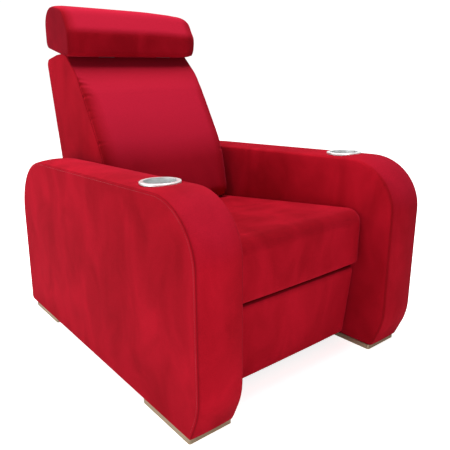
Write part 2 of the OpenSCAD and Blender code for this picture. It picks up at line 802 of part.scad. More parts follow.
module headrest_cushion() {
    half = hinge_w / 6 + seat_gap;
    knee = [head_board_y - leaf_t - seat_gap, head_board_z];
    wall = 2 * leaf_t;
    notch = leaf_t + 4 * seat_gap;
    notch_half = hinge_w / 2 + 2 * seat_gap;
    leaf_top = head_board_h / 2 + seat_gap;
    color("crimson") difference() {
        pillow(
            head_w / 2, head_side, head_radii,
            [0, 0, 0.5, 0.27, 1] * head_crown, [0, 0, 0.3, 0.3, 0.3] * head_crown, 5, 3
        );
        slab(-head_board_half - seat_gap, head_board_half + seat_gap)
            translate([head_board_y - seat_gap, head_board_z - seat_gap])
                square([head_board_t + 2 * seat_gap, head_board_h + 2 * seat_gap]);
        both() {
            slab(hinge_x - half, hinge_x + half) polygon([
                head_pivot + [leaf_t + wall, 0], knee + [leaf_t + wall, -wall],
                knee + [leaf_t + wall, leaf_top], knee + [-seat_gap, leaf_top],
                knee + [-seat_gap, 0], head_pivot - [leaf_t, 0]
            ]);
            slab(hinge_x - notch_half, hinge_x + notch_half) {
                hole(head_pivot, barrel_r + 2 * seat_gap);
                polygon([
                    head_pivot + [0, notch], leaf_knee + [0, notch], leaf_knee + [2 * barrel_r, notch],
                    leaf_knee + [2 * barrel_r, -barrel_r], head_pivot - [0, 3 * barrel_r]
                ]);
            }
        }
    }
}

// Footrest links, from the pair nearest the plate inward
module drive_tube() {
    color("dimgray") {
        slab(-plane_1, plane_1) difference() {
            hole(pivot_a, drive_r);
            hole(pivot_a, drive_r - tube_wall);
        }
        slab(actuator_x - crank_t, actuator_x) difference() {
            bar(pivot_a, crank_pin, slim_link);
            hole(pivot_a, drive_r - tube_wall);
        }
        rod(crank_pin, actuator_x, actuator_x + crank_t, stud_r);
    }
}
module front_link(side) {
    color("gray") sided(side) {
        slab(plane_1, plane_1 + link_t) difference() {
            bar(pivot_a, pivot_e, wide_link);
            hole(pivot_a, stud_r + pin_play);
        }
        rod(pivot_c, plane_2, plane_1, stud_r);
        rod(pivot_e, plane_2, plane_1, stud_r);
    }
}
module rear_link(side) {
    color("gray") sided(side) {
        slab(plane_1, plane_1 + link_t) difference() {
            bar(pivot_b, pivot_d, slim_link);
            hole(pivot_b, stud_r + pin_play);
        }
        rod(pivot_d, plane_2, plane_1, stud_r);
    }
}
module reach_link(side) {
    color("gray") sided(side) {
        slab(plane_2, plane_2 + link_t) difference() {
            bar(pivot_d, pivot_f, slim_link);
            hole(pivot_d, stud_r + open_d_play);
            hole(pivot_c, stud_r + pin_play);
        }
        rod(pivot_f, plane_3, plane_2, stud_r);
    }
}
module tilt_link(side) {
    color("gray") sided(side) {
        slab(plane_2, plane_2 + link_t) difference() {
            bar(pivot_e, pivot_g, slim_link);
            hole(pivot_e, stud_r + pin_play);
        }
        rod(pivot_g, plane_3, plane_2, stud_r);
    }
}

// Footrest panel on its two brackets
pad_back = pad_t + seat_gap;
board_back = pad_back + panel_board_t;
module ottoman_bracket(side) {
    low = panel_l * 0.6;
    color("dimgray") sided(side) {
        slab(plane_3, plane_3 + link_t) difference() {
            union() {
                polygon([panel(board_back, panel_drop + flange_t), panel(board_back, low), pivot_g, pivot_f]);
                bar(pivot_f, pivot_g, wide_link);
            }
            hole(pivot_f, stud_r + pin_play);
            hole(pivot_g, stud_r + open_g_play);
        }
        slab(plane_3 - flange_w, plane_3) polygon([
            panel(board_back, panel_drop + flange_t), panel(board_back, low),
            panel(board_back + flange_t, low), panel(board_back + flange_t, panel_drop + flange_t)
        ]);
    }
}
module ottoman_board() {
    half = plane_3 + link_t;
    color("burlywood") slab(-half, half) polygon([
        panel(pad_back, panel_drop), panel(pad_back, panel_l),
        panel(board_back, panel_l), panel(board_back, panel_drop + seat_gap)
    ]);
}
module ottoman_pad() {
    edge_r = pad_t / 4;
    color("crimson") pillow(
        arm_in - panel_gap,
        [panel(0, panel_l), panel(pad_t, panel_l), panel(pad_t, panel_drop - seat_gap), panel(0, 0)],
        [edge_r, edge_r / 3, edge_r / 3, edge_r * 1.4],
        [0, 0, 0, 1] * pad_crown, [0, 0, 0, 1] * pad_crown, 4, 3
    );
}

arm_frame(-1);  // arm_frame_right
arm_frame(1);  // arm_frame_left
arm_cover(-1);  // arm_cover_right
arm_cover(1);  // arm_cover_left
cup_holder(-1);  // cup_holder_right
cup_holder(1);  // cup_holder_left
foot(-1, foot_front_y);  // foot_front_right
foot(1, foot_front_y);  // foot_front_left
foot(-1, foot_rear_y);  // foot_rear_right
foot(1, foot_rear_y);  // foot_rear_left
foot_screws();
mechanism_plate(-1);  // mechanism_plate_right
mechanism_plate(1);  // mechanism_plate_left
plate_bolts();
seat_support_bars();
cross_tube(front_tube_y);  // cross_tube_front
cross_tube(rear_tube_y);  // cross_tube_rear
back_pivot_pins();
seat_side_rails();
seat_cross_rails();
seat_springs();
seat_cushion();
switch_plate();
rocker(1);  // rocker_back
rocker(-1);  // rocker_footrest
power_inlet();
control_box();
actuator_motor(actuator_x, ottoman_rail_front + ottoman_rail_l, 1);  // ottoman_motor
actuator_rail(actuator_x, ottoman_rail_front, ottoman_rail_l);  // ottoman_rail
carriage(actuator_x, crank_pin, pivot_a[1] - crank_l, ottoman_slot_play, 1);  // ottoman_slider
actuator_motor(-actuator_x, back_rail_front, -1);  // back_motor
actuator_rail(-actuator_x, back_rail_front, back_rail_l);  // back_rail
carriage(-actuator_x, back_pin, back_pivot[1] - back_crank_l, back_slot_play, 1);  // back_slider
back_shell();
back_side_boards();
back_cross_rails();
back_springs();
back_cushion();
back_hinge_arms();
back_crank();
head_hinge_lower();
head_hinge_upper();
head_board();
headrest_cushion();
drive_tube();
front_link(-1);  // front_link_right
front_link(1);  // front_link_left
rear_link(-1);  // rear_link_right
rear_link(1);  // rear_link_left
reach_link(-1);  // reach_link_right
reach_link(1);  // reach_link_left
tilt_link(-1);  // tilt_link_right
tilt_link(1);  // tilt_link_left
ottoman_bracket(-1);  // ottoman_bracket_right
ottoman_bracket(1);  // ottoman_bracket_left
ottoman_board();
ottoman_pad();
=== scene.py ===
import math

import bmesh
import bpy
import numpy as np
from mathutils import Matrix, Vector


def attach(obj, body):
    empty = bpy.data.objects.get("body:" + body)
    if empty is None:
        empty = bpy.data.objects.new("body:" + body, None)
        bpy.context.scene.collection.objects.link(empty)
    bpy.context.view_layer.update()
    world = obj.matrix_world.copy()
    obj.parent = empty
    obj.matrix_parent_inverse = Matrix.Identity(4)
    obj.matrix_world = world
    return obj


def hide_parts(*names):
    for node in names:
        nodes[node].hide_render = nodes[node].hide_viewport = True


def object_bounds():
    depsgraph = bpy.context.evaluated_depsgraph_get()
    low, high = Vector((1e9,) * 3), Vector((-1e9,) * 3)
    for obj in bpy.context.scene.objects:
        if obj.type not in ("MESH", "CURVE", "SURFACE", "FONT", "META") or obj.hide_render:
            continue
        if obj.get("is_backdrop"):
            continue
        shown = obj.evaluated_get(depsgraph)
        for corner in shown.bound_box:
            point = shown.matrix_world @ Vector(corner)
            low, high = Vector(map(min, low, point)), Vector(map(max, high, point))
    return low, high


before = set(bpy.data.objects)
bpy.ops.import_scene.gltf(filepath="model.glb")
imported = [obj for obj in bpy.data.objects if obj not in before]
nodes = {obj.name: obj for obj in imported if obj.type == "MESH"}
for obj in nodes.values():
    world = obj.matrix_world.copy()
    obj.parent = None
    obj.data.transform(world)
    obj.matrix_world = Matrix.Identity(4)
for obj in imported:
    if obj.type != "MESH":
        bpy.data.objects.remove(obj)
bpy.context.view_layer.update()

# Lengths are millimetres in this file and metres in the scene, and x is below 0 on the sitter's right. Side
# outlines are [y, z], with y measured back from the front seam of the arms, so Y_MID is the middle of the depth.
MM = 0.001
Y_MID = 540.5


# Shader nodes

def linear(hex_colour):
    channels = [int(hex_colour[i : i + 2], 16) / 255 for i in (0, 2, 4)]
    return tuple(c / 12.92 if c < 0.04045 else ((c + 0.055) / 1.055) ** 2.4 for c in channels) + (1.0,)


def feed(material, node, inputs):
    """Sets the node's inputs, or links them where the value is another node's output."""
    for key, value in inputs.items():
        if isinstance(value, bpy.types.NodeSocket):
            material.node_tree.links.new(value, node.inputs[key])
        else:
            node.inputs[key].default_value = value


def add(material, kind, inputs=None, **values):
    node = material.node_tree.nodes.new(kind)
    for key, value in values.items():
        setattr(node, key, value)
    feed(material, node, inputs or {})
    return node


def maths(material, operation, *values, **more):
    inputs = dict(enumerate(values))
    return add(material, "ShaderNodeMath", inputs, operation=operation, **more).outputs["Value"]


def noise(material, place, scale, detail, **more):
    inputs = {"Vector": place, "Scale": scale, "Detail": detail, **more}
    return add(material, "ShaderNodeTexNoise", inputs).outputs["Fac"]


def ramp(material, value, start, end, low=0.0, high=1.0):
    """low where the value is start, high where it is end."""
    inputs = {"Value": value, "From Min": start, "From Max": end, "To Min": low, "To Max": high}
    return add(material, "ShaderNodeMapRange", inputs).outputs["Result"]


def mix(material, share, first, second):
    """Mix of two colours, each a hex colour or another node's output."""
    first, second = [linear(c) if isinstance(c, str) else c for c in (first, second)]
    inputs = {"Factor": share, "A": first, "B": second}
    return add(material, "ShaderNodeMix", inputs, data_type="RGBA").outputs["Result"]


def bumps(material, height, strength, depth):
    inputs = {"Height": height, "Strength": strength, "Distance": depth}
    return add(material, "ShaderNodeBump", inputs).outputs["Normal"]


def new_material(name):
    """Material, its shader, and the place on the piece in metres."""
    material = bpy.data.materials.new(name)
    material.use_nodes = True
    place = add(material, "ShaderNodeTexCoord").outputs["Object"]
    return material, material.node_tree.nodes["Principled BSDF"], place


# Velvet
# A short cut pile on a woven ground, dyed one red. Strokes in the nap leave soft, slightly darker clouds. Light
# and shade are also painted into the colour from each face's slope: faces that slope up and forward take a
# painted highlight, a painted shade on the seat, and rounded upright edges a painted shade.

# Dark red of the painted shade
SHADE_RED = "70060f"


def red_velvet(name, painted_slope_share, tones=("880916", "a20f20"), painted_slope_colour="a8182f", sheen=0.45, painted_shade_heights=None):
    """The share is how much of the painted slope colour the faces that slope up and forward take: a painted
    highlight, or a painted shade where that colour is dark. Where the heights of painted shade are given, the
    colour is painted darker below the first height, and from the second up to the third, as painted shade."""
    velvet, shader, place = new_material(name)
    streaks = add(velvet, "ShaderNodeMapping", {"Vector": place, "Scale": (1.0, 1.0, 0.55)}).outputs["Vector"]
    clouds = noise(velvet, streaks, 9.0, 4.0, Roughness=0.55, Distortion=0.6)
    colour = mix(velvet, ramp(velvet, clouds, 0.32, 0.68), *tones)
    # Painted light from the object-space normal: faces that slope up and forward take the slope colour, a
    # painted highlight, or a painted shade where that colour is dark
    normal = add(velvet, "ShaderNodeTexCoord").outputs["Normal"]
    facing = add(velvet, "ShaderNodeSeparateXYZ", {0: normal}).outputs
    aside = maths(velvet, "ABSOLUTE", facing["X"])
    square = maths(velvet, "MULTIPLY_ADD", aside, -1.6, 1.0, use_clamp=True)
    slope = maths(velvet, "MULTIPLY", maths(velvet, "MULTIPLY", facing["Y"], facing["Z"]), square)
    colour = mix(velvet, ramp(velvet, slope, -0.04, -0.38, 0.0, painted_slope_share), colour, painted_slope_colour)
    # Painted shade: rounded upright edges are painted darker
    edge = maths(velvet, "MULTIPLY", aside, facing["Y"])
    colour = mix(velvet, ramp(velvet, edge, -0.09, -0.5, 0.0, 0.8), colour, SHADE_RED)
    # Painted shade: darker towards the bottom, and darker still higher up, in the headrest's shadow
    if painted_shade_heights:
        low_shade_top, under_low, under_high = painted_shade_heights
        height = add(velvet, "ShaderNodeSeparateXYZ", {0: place}).outputs["Z"]
        low_shade = ramp(velvet, height, low_shade_top, low_shade_top - 0.1, 0.0, 0.15)
        under = ramp(velvet, height, under_low, under_high, 0.0, 0.75)
        colour = mix(velvet, maths(velvet, "MAXIMUM", under, low_shade), colour, SHADE_RED)
    specks = noise(velvet, place, 420.0, 2.0, Roughness=0.6)
    flecked = {0: colour, "Scale": ramp(velvet, specks, 0.3, 0.7, 0.9, 1.1)}
    colour = add(velvet, "ShaderNodeVectorMath", flecked, operation="SCALE").outputs["Vector"]
    feed(velvet, shader, {
        "Base Color": colour, "Normal": bumps(velvet, specks, 0.25, 0.0006), "Roughness": 0.85,
        "Specular IOR Level": 0.03, "Sheen Weight": sheen, "Sheen Roughness": 0.35,
        "Sheen Tint": linear("ff4263"),
    })
    return velvet


velvet = red_velvet("red_velvet", 0.12)

# The same velvet painted darker: painted shade in the arms' seam grooves, and under the seat cushion and on the
# footrest pad's top, in the gap between them
seam_and_gap_shade, shader, place = new_material("velvet_with_painted_shade_in_seams_and_gaps")
feed(seam_and_gap_shade, shader, {
    "Base Color": mix(seam_and_gap_shade, noise(seam_and_gap_shade, place, 600.0, 2.0), "640711", "7e0a18"),
    "Roughness": 0.95, "Specular IOR Level": 0.05,
})


# Sewn covers
# Every cover is cut as a long band between two side panels. A ring is the side outline as points, and the
# cover is a run of rings from the middle of one side panel, across the band, to the middle of the other.

ARC_STEPS = 24


def ring_of(points, radii, step):
    """Rounded outline as even points, with the outward direction at each."""
    p = np.array(points, float)
    path = []
    for i, r in enumerate(radii):
        u = p[i - 1] - p[i]
        v = p[(i + 1) % len(p)] - p[i]
        u /= np.linalg.norm(u)
        v /= np.linalg.norm(v)
        half = math.acos(np.clip(u @ v, -1, 1)) / 2
        start = p[i] + u * r / math.tan(half)
        centre = p[i] + (u + v) / np.linalg.norm(u + v) * r / math.sin(half)
        turn = math.pi - 2 * half
        s = start - centre
        for k in range(ARC_STEPS + 1):
            sine, cosine = math.sin(turn * k / ARC_STEPS), math.cos(turn * k / ARC_STEPS)
            path.append(centre + [s[0] * cosine - s[1] * sine, s[0] * sine + s[1] * cosine])
    path = np.array(path + path[:1])
    run = np.concatenate([[0], np.cumsum(np.linalg.norm(np.diff(path, axis=0), axis=1))])
    count = int(run[-1] / step)
    at = np.arange(count) * run[-1] / count
    ring = np.stack([np.interp(at, run, path[:, 0]), np.interp(at, run, path[:, 1])], 1)
    along = np.roll(ring, -1, 0) - np.roll(ring, 1, 0)
    along /= np.linalg.norm(along, axis=1)[:, None]
    return ring, np.stack([along[:, 1], -along[:, 0]], 1)


def section(ring, x):
    return np.column_stack([np.full(len(ring), x), ring])


def toward(ring, spine, share):
    """Ring drawn in towards the line from one spine point to the other."""
    a, b = np.array(spine, float)
    d = b - a
    t = np.clip(((ring - a) @ d) / (d @ d), 0, 1)
    return ring + (a + t[:, None] * d - ring) * share


def mirrored(stations):
    return [-s for s in stations[:0:-1]] + stations


def close_ends(sections, spine, shares, half):
    """Flat side panels, from both ends of the band to their middle."""
    edge = sections[-1][:, 1:]
    for share in shares:
        sections.append(section(toward(edge, spine, share), half))
        sections.insert(0, section(toward(edge, spine, share), -half))


def edge_roll(inset, width):
    """Share of the full height that a face has at this distance from its seam, a quarter of an ellipse."""
    t = 1 - min(max(inset, 0) / width, 1)
    return math.sqrt(max(1 - t * t, 0))


def edge_drop(x, half, radius):
    """How far a rounded edge has fallen at x, in a cover of this half width."""
    over = max(abs(x) - (half - radius), 0)
    return radius - math.sqrt(radius ** 2 - over ** 2)


def smooth(values):
    t = np.clip(values, 0, 1)
    return t * t * (3 - 2 * t)


def show(name, mesh):
    mesh.shade_smooth()
    piece = bpy.data.objects.new(name, mesh)
    bpy.context.scene.collection.objects.link(piece)
    return piece


def sewn(name, sections, cloth, seam=None):
    """Closed mesh through the sections, each a list of [x, y, z] in millimetres round the same outline. The band
    that starts at the section numbered seam is velvet painted darker, a painted shade in the seam."""
    count = len(sections[0])
    skin = np.concatenate(sections) * MM
    skin[:, 1] -= Y_MID * MM
    rows = len(sections)
    faces = []
    for k in range(rows - 1):
        for i in range(count):
            j = (i + 1) % count
            faces.append((k * count + i, k * count + j, (k + 1) * count + j, (k + 1) * count + i))
    mesh = bpy.data.meshes.new(name)
    mesh.from_pydata([tuple(v) for v in skin], [], faces)
    mesh.materials.append(cloth)
    mesh.materials.append(seam_and_gap_shade)
    in_seam = [int(k == seam) for k in range(rows - 1) for i in range(count)]
    mesh.polygons.foreach_set("material_index", in_seam)
    work = bmesh.new()
    work.from_mesh(mesh)
    bmesh.ops.recalc_face_normals(work, faces=work.faces)
    work.to_mesh(mesh)
    work.free()
    return show(name, mesh)


# Foam fill
# A cover is held at its seams and where it is stapled, and the foam fills the rest, which is run here as
# cloth under pressure. The cloth is then made finer, and short creases are pressed in.

STUFFING_FRAMES = 20


def held_share(sections, swelling, ends, half, run):
    """Share of each point that is held: the end sections wholly, and the band less where it swells. run is
    the distance from the seam over which it comes free."""
    return np.concatenate([
        np.ones(len(swelling)) if k < ends or k >= len(sections) - ends
        else 1 - swelling[:, 0] * min(1, (half - abs(sec[0, 0])) / run)
        for k, sec in enumerate(sections)
    ])


def stuff(cover, held, pressure, cap):
    """Swells the cover under pressure, by the cap at most, in millimetres."""
    start = np.array([v.co for v in cover.data.vertices], float)
    pins = cover.vertex_groups.new(name="held")
    for i, share in enumerate(held):
        pins.add([i], float(share), "REPLACE")
    cloth = cover.modifiers.new("cloth", "CLOTH")
    settings = cloth.settings
    settings.quality = 6
    settings.mass = 0.4
    settings.tension_stiffness = 25
    settings.compression_stiffness = 25
    settings.shear_stiffness = 8
    settings.bending_stiffness = 1.5
    settings.use_pressure = True
    settings.uniform_pressure_force = pressure
    settings.vertex_group_mass = "held"
    settings.effector_weights.gravity = 0
    cloth.collision_settings.use_collision = False
    scene = bpy.context.scene
    scene.frame_start, scene.frame_end = 1, STUFFING_FRAMES
    cloth.point_cache.frame_start, cloth.point_cache.frame_end = 1, STUFFING_FRAMES
    for k in range(1, STUFFING_FRAMES + 1):
        scene.frame_set(k)
    shown = cover.evaluated_get(bpy.context.evaluated_depsgraph_get()).to_mesh()
    end = np.array([v.co for v in shown.vertices], float)
    cover.modifiers.remove(cloth)
    moved = end - start
    length = np.linalg.norm(moved, axis=1)
    moved *= (np.minimum(length, cap * MM) / np.maximum(length, 1e-9))[:, None]
    cover.data.vertices.foreach_set("co", (start + moved).astype(np.float32).ravel())
    cover.data.update()
    scene.frame_set(1)


def finer(cover):
    rounding = cover.modifiers.new("rounding", "SUBSURF")
    rounding.levels = rounding.render_levels = 1
    bpy.context.view_layer.objects.active = cover
    with bpy.context.temp_override(object=cover, active_object=cover, selected_objects=[cover]):
        bpy.ops.object.modifier_apply(modifier="rounding")
    cover.data.shade_smooth()


def pucker(cover, lines):
    """Presses short creases into the cover. A line is start, end, width and depth, in millimetres."""
    mesh = cover.data
    points = np.array([v.co for v in mesh.vertices], float) / MM + (0, Y_MID, 0)
    out = np.array([v.normal for v in mesh.vertices], float)
    for start, end, width, depth in lines:
        a, b = np.array(start, float), np.array(end, float)
        along = np.clip((points - a) @ (b - a) / ((b - a) @ (b - a)), 0, 1)
        far = np.linalg.norm(points - a - along[:, None] * (b - a), axis=1) / width
        fold = (1 - along) ** 0.5 * (0.35 * np.exp(-((far - 1.8) / 0.8) ** 2) - np.exp(-far ** 2))
        points += out * (fold * depth)[:, None]
    points = (points - (0, Y_MID, 0)) * MM
    mesh.vertices.foreach_set("co", points.astype(np.float32).ravel())
    mesh.update()


# Arms
# Plywood boxes under foam, each in a velvet cover that is stapled under the box: two flat side panels and a
# long band over the front, top and rear. The band is a little crowned, and its seams lie in a shallow groove.

ARM_IN, ARM_OUT, ARM_MID = 281.0, 414.0, 347.5
ARM_HALF = 66.5
ARM_LOW, ARM_HIGH = 15, 584
ARM_SIDE = [[36, ARM_LOW], [1088, ARM_LOW], [1046, ARM_HIGH], [0, ARM_HIGH], [0, 105]]
ARM_RADII = [6, 12, 225, 150, 200]
ARM_CROWN = 7.0
ARM_HEM = 16  # height above the underside over which the crown comes in
ARM_ROLL = 8  # radius of the soft inner edge
ARM_GROOVE = {412.6: 0.7, 411.2: 0.15}  # depth of the band beside its outer seam
PANEL_INSET = 9  # from the outline to the flat part of a side panel
CUP_Y, CUP_RIM_R, CUP_RIM_Z = 217.0, 51.5, 586.8
CUP_HOLE_R = 49.5

arm_ring, arm_out = ring_of(ARM_SIDE, ARM_RADII, 6.0)
# Share of the crown at each point: full on the front, top and rear, none on the underside
arm_share = np.clip((arm_ring[:, 1] - ARM_LOW) / ARM_HEM, 0, 1)[:, None]
arm_panel = arm_ring - arm_out * PANEL_INSET
arm_spine = [[290, 300], [790, 300]]
# its faces that slope up and forward take a stronger painted highlight
velvet_on_arms = red_velvet("red_velvet_on_the_arms", 0.45, sheen=0.34)


def arm_crown(x):
    return ARM_CROWN * (1 - ((x - ARM_MID) / ARM_HALF) ** 2)


def arm_cover(name, node, side):
    sections = []
    # outer side panel from its middle to its seam, where it dips into the groove
    for share, proud in (
        (1.0, 1.2), (0.8, 1.2), (0.6, 1.2), (0.4, 1.1), (0.25, 1.0), (0.14, 0.9), (0.07, 0.8),
    ):
        sections.append(section(toward(arm_panel, arm_spine, share), ARM_OUT + proud))
    for inset, proud in ((PANEL_INSET, 0.8), (6.0, 0.8), (3.6, 0.7), (2.0, 0.4), (1.0, -0.1)):
        sections.append(section(arm_ring - arm_out * inset, ARM_OUT + proud))
    seam = len(sections) - 1
    # band from the outer seam to the inner one
    for x in (412.6, 411.2, 409.4, 406.5, 402.0, 396.0, 389.5, 383.0, 376.5, 370.0, 364.0, 358.5, 353.0, 347.5,
              342.0, 336.5, 331.0, 325.0, 318.5, 312.0, 305.5, 299.0, 293.0):
        groove = ARM_GROOVE.get(x, 0)
        sections.append(section(arm_ring + arm_out * (arm_crown(x) - groove) * arm_share, x))
    # inner edge, rolled over a softer foam corner
    for turn in (8, 22, 38, 54, 70, 84):
        a = math.radians(turn)
        fall = ARM_ROLL * (1 - math.cos(a))
        rise = (arm_crown(ARM_IN + ARM_ROLL) - fall) * arm_share - (1 - arm_share) * fall
        sections.append(section(arm_ring + arm_out * rise, ARM_IN + ARM_ROLL - ARM_ROLL * math.sin(a)))
    for share in (0.05, 0.12, 0.25, 0.4, 0.6, 0.8, 1.0):
        sections.append(section(toward(arm_panel, arm_spine, share), ARM_IN))
    for s in sections:
        s[:, 0] *= side
        # the fabric dips to the cup holder's rim
        far = np.hypot(s[:, 0] - side * ARM_MID, s[:, 1] - CUP_Y)
        limit = CUP_RIM_Z + np.clip((far - CUP_RIM_R) / 2.2, 0, 1) ** 0.7 * 4.4
        s[:, 2] = np.where(s[:, 2] > 560, np.minimum(s[:, 2], limit), s[:, 2])
    if side < 0:
        sections.reverse()
        seam = len(sections) - 2 - seam
    # the band at the outer seam is painted darker, a painted shade in its groove
    cover = sewn(name, sections, velvet_on_arms, seam)
    # hole for the cup, under its rim
    work = bmesh.new()
    work.from_mesh(cover.data)
    cup = Vector((side * ARM_MID, CUP_Y - Y_MID)) * MM
    hole = [
        face for face in work.faces
        if all(v.co.z > 0.56 and (v.co.xy - cup).length < CUP_HOLE_R * MM for v in face.verts)
    ]
    bmesh.ops.delete(work, geom=hole, context="FACES")
    work.to_mesh(cover.data)
    work.free()
    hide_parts(node)
    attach(cover, "base")


arm_cover("velvet_arm_right", "arm_cover_right", -1)
arm_cover("velvet_arm_left", "arm_cover_left", 1)


# Topstitching
# Twisted polyester thread in a slightly lighter red, in one row on each outer side panel, a little inside its
# seam. It holds the seam's turnings flat and runs from the front foot over the top to the rear foot.

STITCH, STITCH_GAP, THREAD_R = 4.2, 1.6, 0.4
STITCH_INSET = 6.5

thread, shader, place = new_material("red_polyester_thread")
twist = add(thread, "ShaderNodeTexWave", {"Vector": place, "Scale": 900.0}).outputs["Fac"]
feed(thread, shader, {"Base Color": mix(thread, twist, "8c1626", "a82a3c"), "Roughness": 0.5})


def stitch_row(name, path, up, body):
    """Short bulging lengths of thread along a path, in millimetres; up is the cloth's outward way."""
    up = np.array(up)
    run = np.concatenate([[0], np.cumsum(np.linalg.norm(np.diff(path, axis=0), axis=1))])
    starts = np.arange(2.0, run[-1] - STITCH, STITCH + STITCH_GAP)
    at = lambda t: np.stack([np.interp(t, run, path[:, k]) for k in range(3)], 1)
    points, faces = [], []
    ahead = at(starts + STITCH) - at(starts)
    ahead /= np.linalg.norm(ahead, axis=1)[:, None]
    across = np.cross(ahead, up)
    for share, size, lift in ((0.0, 0.35, -0.5), (0.2, 1.0, 0.1), (0.8, 1.0, 0.1), (1.0, 0.35, -0.5)):
        middle = at(starts + share * STITCH) + up * lift * THREAD_R
        for turn in (0, 90, 180, 270):
            a = math.radians(turn)
            points.append(middle + (across * math.cos(a) + up * math.sin(a)) * THREAD_R * size)
    skin = np.stack(points, 1).reshape(-1, 3) * MM
    skin[:, 1] -= Y_MID * MM
    for k in range(len(starts)):
        b = 16 * k
        for row in range(3):
            for q in range(4):
                i, j = b + 4 * row + q, b + 4 * row + (q + 1) % 4
                faces.append((i, j, j + 4, i + 4))
        faces.append((b, b + 3, b + 2, b + 1))
        faces.append((b + 12, b + 13, b + 14, b + 15))
    mesh = bpy.data.meshes.new(name)
    mesh.from_pydata([tuple(v) for v in skin], [], faces)
    mesh.materials.append(thread)
    row = show(name, mesh)
    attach(row, body)


# From the outline's front lower corner round to the rear one, without the underside
stitched = arm_ring - arm_out * STITCH_INSET
first = int(np.argmin(np.hypot(stitched[:, 0] - 15, stitched[:, 1] - 40)))
stitched = np.roll(stitched, -first, 0)
keep = stitched[:, 1] > 36
stitched = np.roll(stitched, -int(np.argmax(keep & ~np.roll(keep, 1))), 0)[: int(keep.sum())]
for name, side in (("topstitch_right", -1), ("topstitch_left", 1)):
    stitch_row(name, section(stitched, side * (ARM_OUT + 1.0)), (side, 0, 0), "base")


# Seat cushion
# A foam block with its front edge rolled over, in one band of velvet from the rear, over the top and down the
# front border. It lies on the springs and is stapled to the seat's rails.

SEAT_HALF = 280.4
SEAT_SIDE = [[91, 273.5], [113, 273.5], [113, 317], [735, 317], [735, 392], [88, 444]]
SEAT_RADII = [10, 4, 4, 8, 20, 42]
SEAT_CROWN, SEAT_BULGE = 4.0, 3.0  # height of the top and of the front border over their seams
SEAT_EDGE_R = 20.0
seat_ring, seat_out = ring_of(SEAT_SIDE, SEAT_RADII, 8.0)
seat_spine = [[140, 380], [700, 356]]
seat_top = np.clip(seat_out[:, 1] * 1.3, 0, 1)[:, None]
seat_face = np.clip(-seat_out[:, 0] * 1.3, 0, 1)[:, None]
seat_soft = np.clip(seat_top + seat_face, 0, 1)
# The rolled front edge is painted darker, a painted shade
velvet_on_seat = red_velvet("red_velvet_with_painted_shade_on_the_front_roll", 0.4, painted_slope_colour=SHADE_RED)

sections = []
for x in mirrored([
    0, 8, 20, 36, 56, 80, 106, 134, 162, 190, 214, 234, 248, 258, 265, 270, 274, 277, 279, 280.4,
]):
    s = abs(x) / SEAT_HALF
    rise = seat_top * SEAT_CROWN * (1 - s ** 3) + seat_face * SEAT_BULGE * (1 - s ** 2)
    rise = rise - seat_soft * edge_drop(x, SEAT_HALF, SEAT_EDGE_R) * 0.8
    sections.append(section(seat_ring + seat_out * rise, x))
close_ends(sections, seat_spine, (0.1, 0.25, 0.5, 0.8, 1.0), SEAT_HALF)
seat = sewn("velvet_seat_cushion", sections, velvet_on_seat)
stuff(seat, held_share(sections, seat_soft, 5, SEAT_HALF, 14), pressure=3.0, cap=8.0)
finer(seat)
# its underside, over the gap to the footrest, is painted darker, a painted shade
for face in seat.data.polygons:
    face.material_index = int(face.normal.z < -0.75)
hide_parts("seat_cushion")
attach(seat, "base")


# Backrest cushion
# Velvet over thick foam, with a seam down each side of its front panel. The foam thins out towards the top,
# which goes in under the headrest. It is stuffed tighter on the sitter's right and draws in on the left.

BACK_HALF = 257.5
BACK_SIDE = [[652, 409], [745, 409], [880, 367], [985, 933], [915, 938], [835, 860], [690, 600]]
BACK_RADII = [30, 20, 4, 4, 24, 150, 300]
BACK_ROLL, BACK_ROLL_WIDTH, BACK_BELLY = 18.0, 60, 6.0  # rolled sides, and the middle's height over them
BACK_STATIONS = [
    0, 12, 28, 48, 72, 98, 124, 148, 168, 184, 197, 208, 217, 225, 232, 238, 243, 247.5, 251, 253.7, 255.6,
    256.8,
]
back_ring, back_out = ring_of(BACK_SIDE, BACK_RADII, 8.0)
back_spine = [[760, 470], [910, 860]]
back_soft = np.clip(-back_out[:, 0] * 1.6 - 0.15, 0, 1)[:, None]
back_full = 1 - 0.97 * smooth((back_ring[:, 1] - 785) / 90)[:, None]
# Painted highlight on faces that slope up and forward, and painted shade towards the bottom and, darker, in the
# headrest's shadow
velvet_on_back = red_velvet("red_velvet_on_the_backrest", 1.0, painted_shade_heights=(0.74, 0.79, 0.92))


def draw_in_left(sections):
    for s in sections:
        s[:, 0] -= np.clip(s[:, 0], 0, None) * 0.05 * np.clip((960 - s[:, 1]) / 60, 0, 1)


sections = []
for x in mirrored(BACK_STATIONS):
    roll = edge_roll(BACK_HALF - abs(x), BACK_ROLL_WIDTH)
    rise = back_soft * back_full * (BACK_ROLL * roll + BACK_BELLY * (1 - (x / BACK_HALF) ** 2))
    sections.append(section(back_ring + back_out * rise, x))
for inset, out in ((1.0, 257.0), (2.5, 257.4), (5.0, 257.5)):
    sections.append(section(back_ring - back_out * inset * back_soft, out))
    sections.insert(0, section(back_ring - back_out * inset * back_soft, -out))
close_ends(sections, back_spine, (0.06, 0.15, 0.3, 0.5, 0.8, 1.0), BACK_HALF)
draw_in_left(sections)
back = sewn("velvet_back_cushion", sections, velvet_on_back)
stuff(back, held_share(sections, back_soft * back_full, 9, BACK_HALF, 14), pressure=3.5, cap=10.0)
finer(back)
